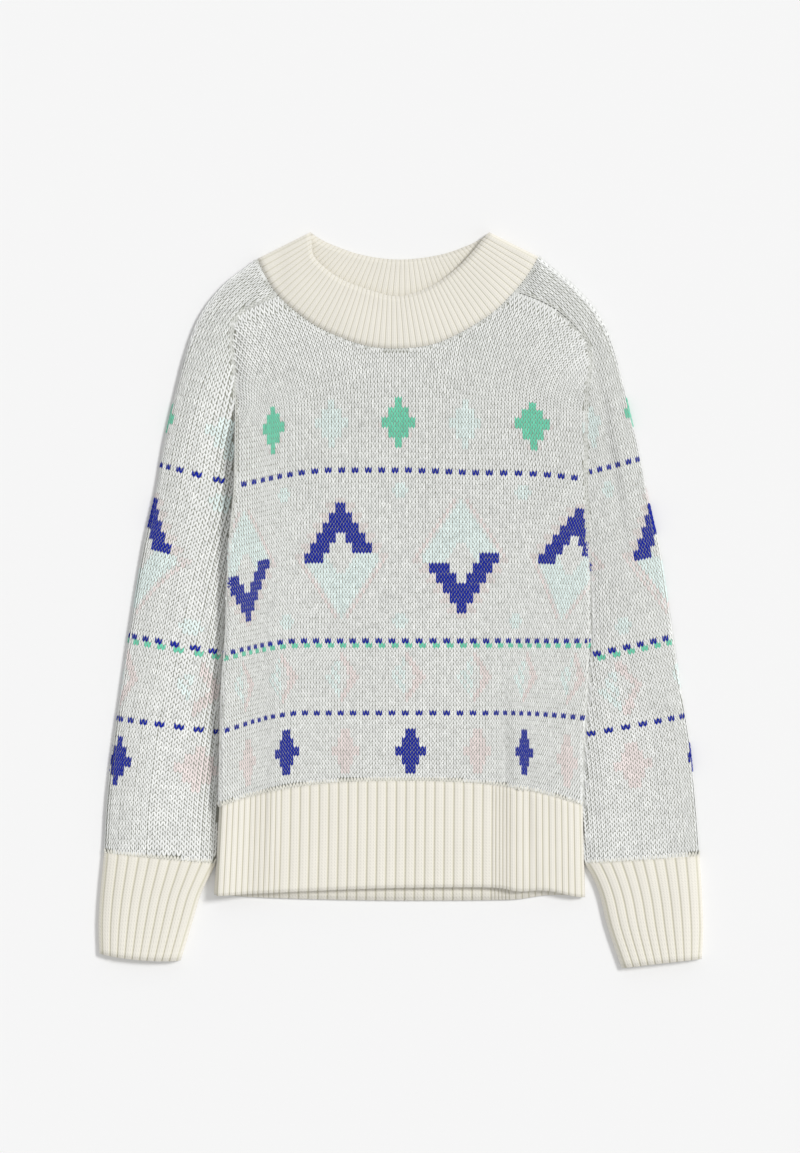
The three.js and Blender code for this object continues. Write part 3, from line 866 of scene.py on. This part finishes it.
def stitching_tree():
    """Sets a stitch on every point, turned, sized and coloured as the point says."""
    tree = bpy.data.node_groups.new("knit_stitches", "GeometryNodeTree")
    face = tree.interface
    face.new_socket("Points", in_out="INPUT", socket_type="NodeSocketGeometry")
    face.new_socket("Stitch", in_out="INPUT", socket_type="NodeSocketObject")
    face.new_socket("Stitch Size", in_out="INPUT", socket_type="NodeSocketFloat")
    face.new_socket("Unevenness", in_out="INPUT", socket_type="NodeSocketFloat")
    face.new_socket("Wool", in_out="INPUT", socket_type="NodeSocketMaterial")
    face.new_socket("Cloth", in_out="OUTPUT", socket_type="NodeSocketGeometry")
    nodes = Nodes(tree)
    given = nodes.add("NodeGroupInput").outputs
    stitch = nodes.add("GeometryNodeObjectInfo", values={"Object": given["Stitch"]})
    turn, size = [
        nodes.add(
            "GeometryNodeInputNamedAttribute", {"data_type": "FLOAT_VECTOR"}, {"Name": name}
        ).outputs["Attribute"]
        for name in ("turn", "size")
    ]
    sway = nodes.add(
        "FunctionNodeRandomValue", {"data_type": "FLOAT_VECTOR"},
        {"Min": (-0.5, -0.5, -0.5), "Max": (0.5, 0.5, 0.5), "Seed": 7},
    ).outputs[0]
    swayed = nodes.add(
        "ShaderNodeVectorMath", {"operation": "SCALE"}, {0: sway, "Scale": given["Unevenness"]}
    ).outputs[0]
    turned = nodes.add("ShaderNodeVectorMath", {"operation": "ADD"}, (turn, swayed)).outputs[0]
    sized = nodes.add(
        "ShaderNodeVectorMath", {"operation": "SCALE"}, {0: size, "Scale": given["Stitch Size"]}
    ).outputs[0]
    placed = nodes.add("GeometryNodeInstanceOnPoints", values={
        "Points": given["Points"],
        "Instance": stitch.outputs["Geometry"],
        "Rotation": turned,
        "Scale": sized,
    })
    real = nodes.add("GeometryNodeRealizeInstances", values={"Geometry": placed.outputs[0]})
    done = nodes.add(
        "GeometryNodeSetMaterial", values={"Geometry": real.outputs[0], "Material": given["Wool"]}
    )
    nodes.add("NodeGroupOutput", values=[done.outputs[0]])
    return tree


STITCHING = stitching_tree()


def socket_id(tree, name):
    return next(item.identifier for item in tree.interface.items_tree if item.name == name)


def stitched(name, stitches):
    """One mesh with all the stitches of a piece."""
    points = np.stack([stitches["x"], stitches["y"], stitches["z"]], axis=1) * MM
    mesh = bpy.data.meshes.new(name + "_points")
    mesh.from_pydata([tuple(p) for p in points], [], [])
    for key, kind, slot, values in (
        ("turn", "FLOAT_VECTOR", "vector", stitches["euler"]),
        ("size", "FLOAT_VECTOR", "vector", stitches["size"]),
        ("yarn", "FLOAT_COLOR", "color", stitches["colour"]),
    ):
        layer = mesh.attributes.new(key, kind, "POINT")
        layer.data.foreach_set(slot, np.ascontiguousarray(values, float).ravel())
    carrier = bpy.data.objects.new(name + "_points", mesh)
    bpy.context.scene.collection.objects.link(carrier)
    modifier = carrier.modifiers.new("stitches", "NODES")
    modifier.node_group = STITCHING
    modifier[socket_id(STITCHING, "Stitch")] = ONE_STITCH
    modifier[socket_id(STITCHING, "Stitch Size")] = MM
    modifier[socket_id(STITCHING, "Unevenness")] = 0.09
    modifier[socket_id(STITCHING, "Wool")] = stitch_wool
    graph = bpy.context.evaluated_depsgraph_get()
    made_mesh = bpy.data.meshes.new_from_object(
        carrier.evaluated_get(graph), preserve_all_data_layers=True, depsgraph=graph
    )
    made_mesh.name = name
    carrier.modifiers.clear()
    bpy.data.objects.remove(carrier)
    for layer in [a.name for a in made_mesh.attributes if a.name in ("turn", "size")]:
        made_mesh.attributes.remove(made_mesh.attributes[layer])
    made = bpy.data.objects.new(name, made_mesh)
    bpy.context.scene.collection.objects.link(made)
    plan_uv(made_mesh)
    return made


# How far the yarn's brightness strays from stitch to stitch.
YARN_SPREAD = 0.045
# How much narrower the stitches are over the shoulders, so that more shows between them.
SHOULDER_OPEN = 0.03
# The deep yarns are fuller, and close up between their stitches.
DEEP_YARNS = ("blue", "green")
DEEP_FULLNESS = 1.14
STITCH_HEIGHT = 0.82
UNDER_HEIGHT = 0.55
# Stitches keep this far from a seam that has a row of its own.
SEAM_CLEARANCE = 2.2
UNDER_TILT = 0.12
TOP_TILT = 0.4


def seam_lines(first, last):
    """The seams between the front and its sleeves, between two rows of the sleeves' tables."""
    return {
        side: spline(SLEEVES[side][0][first:last, 0:2], np.linspace(0, 1, 120)) for side in SLEEVES
    }


ARMHOLES = seam_lines(0, 11)
FRONT_SIDES = seam_lines(10, 16)


def dressed(plan, shell, under, places, flip=1, clear=()):
    """The stitches of one face of a piece, ready to be set."""
    for path in clear:
        room = to_path(plan["x"], plan["y"], path) > SEAM_CLEARANCE
        plan = {key: value[room] for key, value in plan.items()}
    found = landed(shell, plan, under)
    found["normal"][:, :2] *= UNDER_TILT if under else TOP_TILT
    lean = np.clip(np.abs(found["normal"][:, 2]), 0.5, 1)
    found["euler"] = euler_for(found["turn"], found["normal"])
    height = (UNDER_HEIGHT if under else STITCH_HEIGHT) * np.clip(found["wide"] / WALE, 0.5, 1)
    loose = 0.97 + 0.05 * np.clip((150 - found["y"]) / 120, 0, 1)
    stretched = 1 + 0.16 * np.clip(found["wide"] / WALE - 1, 0, 0.6)
    found["size"] = np.stack([
        found["wide"] / lean * loose * stretched, found["long"], height
    ], axis=1)
    found["size"][:, 0] *= 1 - SHOULDER_OPEN * np.clip((found["y"] - 200) / 60, 0, 1)
    yarns = [
        chart(int(round(wale * flip)), int(round(course)), places)
        for wale, course in zip(found["wale"], found["course"])
    ]
    found["size"][np.isin(yarns, DEEP_YARNS), 0] *= DEEP_FULLNESS
    colours = np.ones((len(found["x"]), 4))
    colours[:, :3] = [linear(YARNS[yarn]) for yarn in yarns]
    chance = np.random.default_rng(len(colours))
    colours[:, :3] *= chance.normal(1.0, YARN_SPREAD, (len(colours), 1)).clip(0.8, 1.12)
    found["colour"] = colours
    return found


def joined(*groups):
    keys = ("x", "y", "z", "euler", "size", "colour")
    return {key: np.concatenate([group[key] for group in groups]) for key in keys}


# How far a seam's stitches stand from it, and how flat they are.
SEAM_ROOM = 1.5
SEAM_FLATNESS = 0.7
SEAM_LONG = 4.4
CHAIN_PITCH = 4.3
CHAIN_WIDE = 3.6
# A course above the chart's first border, where every stitch is of the ground yarn.
PLAIN_COURSE = -60


def along_seam(path, pitch, offsets):
    """Places along a line, to one side of it: x, y and the way that the line runs there."""
    line = by_length(path, np.arange(pitch / 2, lengths_along(path)[-1], pitch))
    ahead = headings(line)
    offset = np.interp(np.linspace(0, 1, len(line)), np.linspace(0, 1, len(offsets)), offsets)
    x = line[:, 0] - ahead[:, 1] * offset
    y = line[:, 1] + ahead[:, 0] * offset
    return x, y, np.arctan2(ahead[:, 1], ahead[:, 0])


def seam_stitches(x, y, turn, wide, shell, under, yarn):
    """Flat stitches of one yarn along a seam."""
    full = np.ones(len(x))
    plan = {
        "wale": full * 0, "course": full * PLAIN_COURSE, "x": x, "y": y, "turn": turn,
        "wide": full * wide, "long": full * SEAM_LONG,
    }
    found = dressed(plan, shell, under, BODY_CHART)
    found["colour"][:, :3] *= linear(YARNS[yarn]) / linear(YARNS["ground"])
    found["size"][:, 2] *= SEAM_FLATNESS
    return found


def chain(path, offsets, shell):
    """A line of stitches along a seam, to one side of it."""
    x, y, way = along_seam(path, CHAIN_PITCH, offsets)
    return seam_stitches(x, y, way + math.pi / 2, CHAIN_WIDE, shell, False, "seam")


def edging(path, yarn, shell, under=False):
    """A row of stitches that stand on a seam and close it, their feet towards its right."""
    x, y, way = along_seam(path, WALE, [SEAM_ROOM])
    return seam_stitches(x, y, way, WALE * 1.2, shell, under, yarn)


# Stitches on an upright side face upward by this slope.
UPRIGHT_SLOPE = 0.2


def standing(x, y, z, turn, outward, long, colour):
    """Stitches on an upright side of the cloth, facing the way that outward points."""
    full = np.ones(len(x))
    normal = np.stack([np.cos(outward), np.sin(outward), full * UPRIGHT_SLOPE], axis=1)
    normal = normal / np.hypot(1, UPRIGHT_SLOPE)
    return {
        "x": x, "y": y, "z": full * z, "euler": euler_for(turn, normal),
        "size": np.stack([full * WALE, long, full * STITCH_HEIGHT], axis=1), "colour": colour,
    }


def fold_stitches(side, places):
    """The wale that runs along a sleeve's outer fold."""
    place = sleeve_place(side)
    table, _, wales, _, _ = SLEEVES[side]
    wale = wales[0][0][0]
    plan = lattice(place, np.array([wale]), COURSES)
    inner = place(plan["wale"] + 4, plan["course"])
    outward = np.arctan2(plan["y"] - inner[1], plan["x"] - inner[0])
    kept = (plan["y"] < table[0, 3] - 2) & (plan["y"] > -240)
    colour = np.ones((len(plan["x"]), 4))
    for k, course in enumerate(plan["course"]):
        colour[k, :3] = linear(YARNS[chart(int(round(wale)), int(course), places)])
    found = standing(plan["x"], plan["y"], MIDDLE, plan["turn"], outward, plan["long"], colour)
    return {key: value[kept] for key, value in found.items()}


FLANK_WALES = 4
# The first of them lies this far below the top edge, and none goes below this height.
FLANK_BELOW = 2.2
FLANK_LOWEST = 7.0


def flank_stitches():
    """Wales on the steep side that the front has beside the left sleeve."""
    groups = []
    x, y, way = along_seam(seam_lines(6, 16)["left"], SEAM_LONG, [0.0])
    for down in range(FLANK_WALES):
        z = THICK + flank_lift(x, y, False) - FLANK_BELOW - WALE * down
        kept = z > FLANK_LOWEST
        colour = np.ones((kept.sum(), 4)) * (*linear(YARNS["ground"]), 1)
        groups.append(standing(
            x[kept], y[kept], z[kept], way[kept] + math.pi / 2, way[kept] - math.pi / 2,
            np.full(kept.sum(), SEAM_LONG), colour,
        ))
    return joined(*groups)


# The upper corners of the hem, and where its sides lead to.
HEM_TOP = -195.65
HEM_CORNERS = (((-172.4, HEM_TOP), (-175.3, -250.0)), ((173.0, HEM_TOP), (174.1, -250.0)))


def hem_top(share):
    """Height of the hem's upper edge at a share of its width."""
    return HEM_TOP_RISE * (1 - np.abs(2 * share - 1) ** HEM_TOP_ROUNDNESS)


def sagging(row, share):
    """The line across a cuff that one row of its table gives."""
    inner_x, inner_y, outer_x, outer_y, sag = row
    x = inner_x + (outer_x - inner_x) * share
    y = inner_y + (outer_y - inner_y) * share - 4 * sag * share * (1 - share)
    return np.stack([x, y], axis=1)


# The seams between the knit pieces and the ribs, as lines with the knit on their left.
SEAM_SHARES = np.linspace(0, 1, 80)
HEM_SEAM = np.stack([-172.4 + 345.4 * SEAM_SHARES, HEM_TOP + hem_top(SEAM_SHARES)], axis=1)
CUFF_SEAMS = {
    "left": sagging(LEFT_CUFF[0], SEAM_SHARES)[::-1],
    "right": sagging(RIGHT_CUFF[0], SEAM_SHARES),
}

body_plan = lattice(body_place, np.arange(-80, 77), COURSES)
rib_seams = (HEM_SEAM, *CUFF_SEAMS.values(), NECK_SEAM)
front_stitches = stitched("front_stitches", joined(
    dressed(body_plan, front_cloth, False, BODY_CHART, clear=(*ARMHOLES.values(), *rib_seams)),
    chain(ARMHOLES["left"], (1.6, 1.2, 1.0, 1.0), front_cloth),
    chain(ARMHOLES["right"], (-1.8, -1.7, -1.0, -1.0, -1.0), front_cloth),
    chain(FRONT_SIDES["left"], (1.5,), front_cloth),
    flank_stitches(),
    chain(FRONT_SIDES["right"], (-1.5,), front_cloth),
    edging(HEM_SEAM, "rib", front_cloth),
    edging(NECK_SEAM[::-1], "seam", front_cloth),
))
back_stitches = stitched("back_stitches", joined(
    dressed(body_plan, back_cloth, True, BODY_CHART, flip=-1, clear=(HEM_SEAM,)),
    edging(HEM_SEAM, "rib", back_cloth, True),
))
sleeve_parts = []
for side, shell, places in (
    ("left", left_cloth, LEFT_CHART),
    ("right", right_cloth, RIGHT_CHART),
):
    flip = 1 if side == "left" else -1
    plan = lattice(sleeve_place(side), np.arange(-3, 36), COURSES)
    offsets = (-1.6, -1.2, -1.0, -1.0) if side == "left" else (1.8, 1.7, 1.0, 1.0, 1.0)
    sleeve_parts.append(stitched(side + "_sleeve_stitches", joined(
        dressed(plan, shell, False, places, flip, clear=(ARMHOLES[side], *rib_seams)),
        dressed(plan, shell, True, places, flip),
        chain(ARMHOLES[side], offsets, shell),
        chain(FRONT_SIDES[side], (-1.9 * flip,), shell),
        fold_stitches(side, places),
        edging(CUFF_SEAMS[side], "rib", shell),
        edging(CUFF_SEAMS[side], "rib", shell, True),
        edging(NECK_SEAM[::-1], "seam", shell),
    )))
left_stitches, right_stitches = sleeve_parts

# Ribs: crests with a narrow groove between, on both faces of the cloth. The grooves are darker in
# colour: painted shade.
RIB_STEPS = (0.0, 0.05, 0.1, 0.18, 0.34, 0.5, 0.66, 0.82, 0.9, 0.95)
RIB_DEPTH = 0.9
RIB_OUTWARD = 1.45
RIB_INWARD = 0.9
COLLAR_RELIEF = 0.6


def rib_profile(share):
    """1 on a crest and 0 in a groove, for shares that count ribs."""
    inside = np.mod(share, 1)
    near = np.minimum(inside, 1 - inside)
    return (1 - np.exp(-((near / 0.09) ** 2))) * (0.72 + 0.28 * np.sin(math.pi * inside))


def spread_ribs(stretches):
    """Columns across ribs: share of the row, and count of ribs up to there."""
    left, right = stretches[0][0], stretches[-1][1]
    shares, counts, done = [], [], 0
    for start, end, ribs in stretches:
        for k in range(ribs):
            for step in RIB_STEPS:
                shares.append((start + (end - start) * (k + step) / ribs - left) / (right - left))
                counts.append(done + k + step)
        done += ribs
    return np.array(shares + [1.0]), np.array(counts + [float(done)])


def even_ribs(count):
    return spread_ribs([(0.0, 1.0, count)])


END_ANGLES = (0, 30, 60)


def layer_row(path, shares, counts, height, under):
    """One row of a ribbed layer: middle points, outward normals and rib counts."""
    length = lengths_along(path)[-1]
    flat = by_length(path, MIDDLE + shares * (length - 2 * MIDDLE))
    lift = np.zeros(len(flat)) if under else height(flat[:, 0], flat[:, 1])
    radius = MIDDLE - WALL / 2
    points = [(x, y, MIDDLE + radius + h) for (x, y), h in zip(flat, lift)]
    normals = [(0.0, 0.0, 1.0)] * len(flat)
    ribs = list(counts)

    def ending(corner, inward, first_count):
        made = []
        for degrees in END_ANGLES:
            angle = math.radians(degrees)
            reach = MIDDLE - radius * math.cos(angle)
            place = (*(corner + inward * reach), MIDDLE + radius * math.sin(angle))
            out = (*(-inward * math.cos(angle)), math.sin(angle))
            made.append((place, out, first_count))
        return made

    first = (path[1] - path[0]) / np.hypot(*(path[1] - path[0]))
    last = (path[-2] - path[-1]) / np.hypot(*(path[-2] - path[-1]))
    head = ending(path[0], first, counts[0] + 0.3)
    tail = ending(path[-1], last, counts[-1] + 0.3)[::-1]
    points = np.array([h[0] for h in head] + points + [t[0] for t in tail])
    normals = np.array([h[1] for h in head] + normals + [t[1] for t in tail])
    ribs = [h[2] for h in head] + ribs + [t[2] for t in tail]
    if under:
        points[:, 2] = THICK - points[:, 2]
        normals[:, 2] *= -1
    return points, normals, np.array(ribs)


def ribbed_sheet(name, rows, ring, courses, relief=1):
    """A closed wall from rows of middle points, ribbed on both faces."""
    points = np.array([row[0] for row in rows])
    normals = np.array([row[1] for row in rows])
    ribs = np.array([row[2] for row in rows])
    profile = rib_profile(ribs)
    outward = RIB_OUTWARD + (profile - 0.5) * RIB_DEPTH * relief
    inward = RIB_INWARD + (profile - 0.5) * RIB_DEPTH * relief * 0.8
    outer = points + normals * outward[..., None]
    inner = points - normals * inward[..., None]
    outer[..., 2] = np.maximum(outer[..., 2], 0.05)
    down, across = profile.shape
    vertices = np.concatenate([outer.reshape(-1, 3), inner.reshape(-1, 3)])
    faces = []
    half = down * across
    spans = across if ring else across - 1
    for i in range(down - 1):
        for j in range(spans):
            a, b = i * across + j, i * across + (j + 1) % across
            c, d = b + across, a + across
            faces.append((a, d, c, b))
            faces.append((half + a, half + b, half + c, half + d))
    for j in range(spans):
        a, b = j, (j + 1) % across
        faces.append((a, b, half + b, half + a))
        a, b = a + half - across, b + half - across
        faces.append((b, a, half + a, half + b))
    if not ring:
        for i in range(down - 1):
            a, b = i * across, (i + 1) * across
            faces.append((b, a, half + a, half + b))
            a, b = a + across - 1, b + across - 1
            faces.append((a, b, half + b, half + a))
    made = mesh_object(name, vertices, faces, rib_wool)
    mesh = made.data
    form = bmesh.new()
    form.from_mesh(mesh)
    bmesh.ops.recalc_face_normals(form, faces=form.faces)
    form.to_mesh(mesh)
    form.free()
    # Colour darkens from crest to groove, as painted shade in the grooves carried in the yarn
    # attribute; relief scales it.
    shade = 1 - relief * (1 - np.clip(profile * 1.15, 0, 1)[..., None])
    colours = (linear(GROOVE_PAINTED_SHADE) * (1 - shade) + linear(CREAM) * shade).reshape(-1, 3)
    colour_points(mesh, np.concatenate([colours, colours]))
    grid_x = (ribs * 3).reshape(-1)
    grid_y = np.repeat(np.linspace(0, courses, down), across)
    uv = np.stack([np.tile(grid_x, 2), np.tile(grid_y, 2)], axis=1)
    corners = np.empty(len(mesh.loops), int)
    mesh.loops.foreach_get("vertex_index", corners)
    layer = mesh.uv_layers.new(name="Stitches")
    layer.data.foreach_set("uv", uv[corners].ravel())
    plan_uv(mesh)
    return made


def hem_rows(edge, under, count, columns):
    rows = []
    edge = spline(edge, np.linspace(0, 1, 150))
    low = edge[:, 1].min()
    for down in np.linspace(0, 1, count):
        corners = []
        for top, bottom in HEM_CORNERS:
            y = top[1] + (low - top[1]) * down
            x = top[0] + (bottom[0] - top[0]) * (top[1] - y) / (top[1] - bottom[1])
            corners.append((x, y))
        share = np.linspace(0, 1, 60)
        x = corners[0][0] + (corners[1][0] - corners[0][0]) * share
        y = (hem_top(share) + HEM_TOP) * (1 - down) + np.interp(x, edge[:, 0], edge[:, 1]) * down
        rows.append(layer_row(np.stack([x, y], axis=1), *columns, body_lift, under))
    return rows


def ring_row(over, under, over_columns, under_columns, height):
    """A flat tube's row: over from the inner edge to the fold, and back under."""
    top = layer_row(over, *over_columns, height, False)
    low = layer_row(under, *under_columns, height, True)
    backwards = [part[::-1][1:-1] for part in low]
    return [np.concatenate([a, b]) for a, b in zip(top, backwards)]


def cuff_rows(table, count):
    rows = []
    for share in np.linspace(0, 1, count):
        path = sagging(spline(table, [share])[0], np.linspace(0, 1, 30))
        columns = even_ribs(CUFF_RIBS)
        rows.append(ring_row(path, path, columns, columns, sleeve_lift))
    return rows


def collar_rows(count):
    rows = []
    for up in np.linspace(0, 1, count):
        paths = []
        for table in (COLLAR_FRONT, COLLAR_BACK):
            points = table[:, 0:2] + (table[:, 2:4] - table[:, 0:2]) * up
            paths.append(spline(points, np.linspace(0, 1, 160)))
        rows.append(ring_row(
            paths[0], paths[1], even_ribs(COLLAR_RIBS), even_ribs(COLLAR_BACK_RIBS), sleeve_lift
        ))
    return rows


front_hem = ribbed_sheet(
    "front_hem_cloth", hem_rows(FRONT_HEM_EDGE, False, 22, spread_ribs(HEM_RIBS)), False, 34
)
back_hem = ribbed_sheet(
    "back_hem_cloth", hem_rows(BACK_HEM_EDGE, True, 12, spread_ribs(HEM_RIBS)), False, 34
)
left_cuff = ribbed_sheet("left_cuff_cloth", cuff_rows(LEFT_CUFF, 16), True, 32)
right_cuff = ribbed_sheet("right_cuff_cloth", cuff_rows(RIGHT_CUFF, 16), True, 32)
collar = ribbed_sheet("collar_cloth", collar_rows(10), True, 18, COLLAR_RELIEF)

# What each piece is, in square metres of one layer, and the room that its cut takes.
SHEETS = (
    (front_cloth, "front_panel", (0.44, 0.50), 0.149, [front_stitches], "colourwork_knit"),
    (back_cloth, "back_panel", (0.44, 0.51), 0.156, [back_stitches], "colourwork_knit"),
    (left_cloth, "left_saddle_sleeve", (0.20, 0.60), 0.087, [left_stitches], "colourwork_knit"),
    (right_cloth, "right_saddle_sleeve", (0.20, 0.60), 0.076, [right_stitches], "colourwork_knit"),
    (front_hem, "front_hem_rib", (0.40, 0.095), 0.036, [], "cream_rib"),
    (back_hem, "back_hem_rib", (0.40, 0.095), 0.036, [], "cream_rib"),
    (left_cuff, "left_cuff", (0.20, 0.095), 0.019, [], "cream_rib"),
    (right_cuff, "right_cuff", (0.20, 0.095), 0.019, [], "cream_rib"),
    (collar, "neck_rib", (0.60, 0.055), 0.029, [], "cream_rib"),
)
for cloth, node, flat, area, stitches, slot in SHEETS:
    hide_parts(node)
    for piece in [cloth, *stitches]:
        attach(piece, "root")

# Floor, light and camera.
floor = mesh_object(
    "floor", [(-4000, -4000, -0.4), (4000, -4000, -0.4), (4000, 4000, -0.4), (-4000, 4000, -0.4)],
    [(0, 1, 2, 3)], plain("pale_floor", (246, 246, 246), 0.9),
)

world = bpy.data.worlds.new("studio")
world.use_nodes = True
sky = world.node_tree.nodes["Background"]
sky.inputs["Color"].default_value = (1, 1, 1, 1)
sky.inputs["Strength"].default_value = 0.58
bpy.context.scene.world = world
bpy.context.scene.view_settings.view_transform = "Standard"


key_data = bpy.data.lights.new("key", "SUN")
key_data.energy = 1.8
key_data.angle = math.radians(14)
key = bpy.data.objects.new("key", key_data)
key.location = (1.3, 0.7, 1.6)
key.rotation_euler = (-Vector(key.location)).to_track_quat("-Z", "Y").to_euler()
bpy.context.scene.collection.objects.link(key)

CAMERA_HEIGHT = 2.592
camera_data = bpy.data.cameras.new("camera")
camera_data.lens = 85
camera_data.sensor_width = 36
camera = bpy.data.objects.new("camera", camera_data)
camera.location = (-0.8 * MM, 22.3 * MM, CAMERA_HEIGHT)
camera.rotation_euler = (0, 0, 0)
bpy.context.scene.collection.objects.link(camera)
bpy.context.scene.camera = camera
